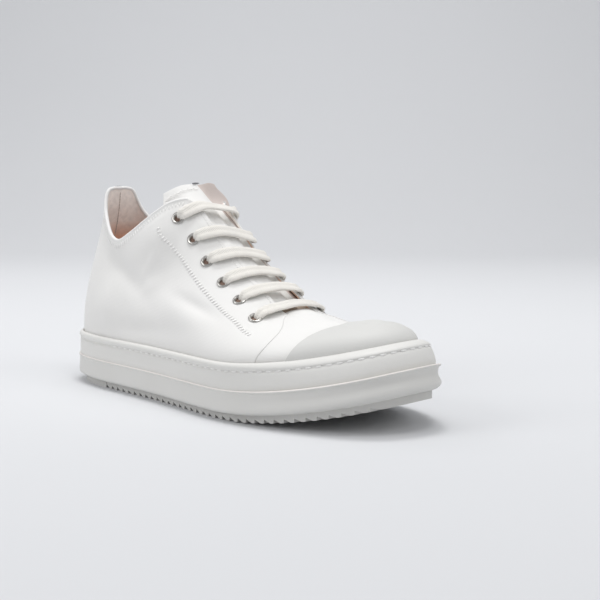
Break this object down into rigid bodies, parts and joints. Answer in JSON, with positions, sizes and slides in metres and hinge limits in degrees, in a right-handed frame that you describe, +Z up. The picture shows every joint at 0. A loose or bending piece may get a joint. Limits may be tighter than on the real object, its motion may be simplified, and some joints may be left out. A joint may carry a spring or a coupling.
{
  "type": "low-top sneaker",
  "caption": "Low-top canvas sneaker for the right foot, on a thick toothed rubber sole, with a rubber toe cap, a raised heel tab and flat laces across an open throat.",
  "frame": {"origin": "middle of the shoe's box at floor level", "axes": "+X towards the toe, -Y towards the lateral side, +Z up"},
  "size_m": [0.3055, 0.1152, 0.1423],
  "materials": {
    "tread_rubber": "matte, moulded",
    "sole_rubber": "matte, moulded",
    "band_rubber": "satin, moulded",
    "cap_rubber": "matte, moulded",
    "upper_canvas": "tightly woven cotton",
    "tongue_canvas": "woven cotton",
    "insole_lining": "brushed lining",
    "eyelet_nickel": "satin nickel plate",
    "lace_cotton": "flat woven tape"
  },
  "bodies": {
    "root": {"outsole_heel": "tread_rubber", "outsole_tread": "tread_rubber", "midsole": "sole_rubber", "foxing_band": "band_rubber", "insole": "insole_lining", "upper": "upper_canvas", "toe_cap": "cap_rubber", "tongue": "tongue_canvas", "eyelet_lateral_1": "eyelet_nickel", "eyelet_lateral_2": "eyelet_nickel", "eyelet_lateral_3": "eyelet_nickel", "eyelet_lateral_4": "eyelet_nickel", "eyelet_lateral_5": "eyelet_nickel", "eyelet_lateral_6": "eyelet_nickel", "eyelet_medial_1": "eyelet_nickel", "eyelet_medial_2": "eyelet_nickel", "eyelet_medial_3": "eyelet_nickel", "eyelet_medial_4": "eyelet_nickel", "eyelet_medial_5": "eyelet_nickel", "eyelet_medial_6": "eyelet_nickel", "lace_bar_1": "lace_cotton", "lace_bar_2": "lace_cotton", "lace_bar_3": "lace_cotton", "lace_bar_4": "lace_cotton", "lace_bar_5": "lace_cotton", "lace_bar_6": "lace_cotton"}
  },
  "joints": []
}
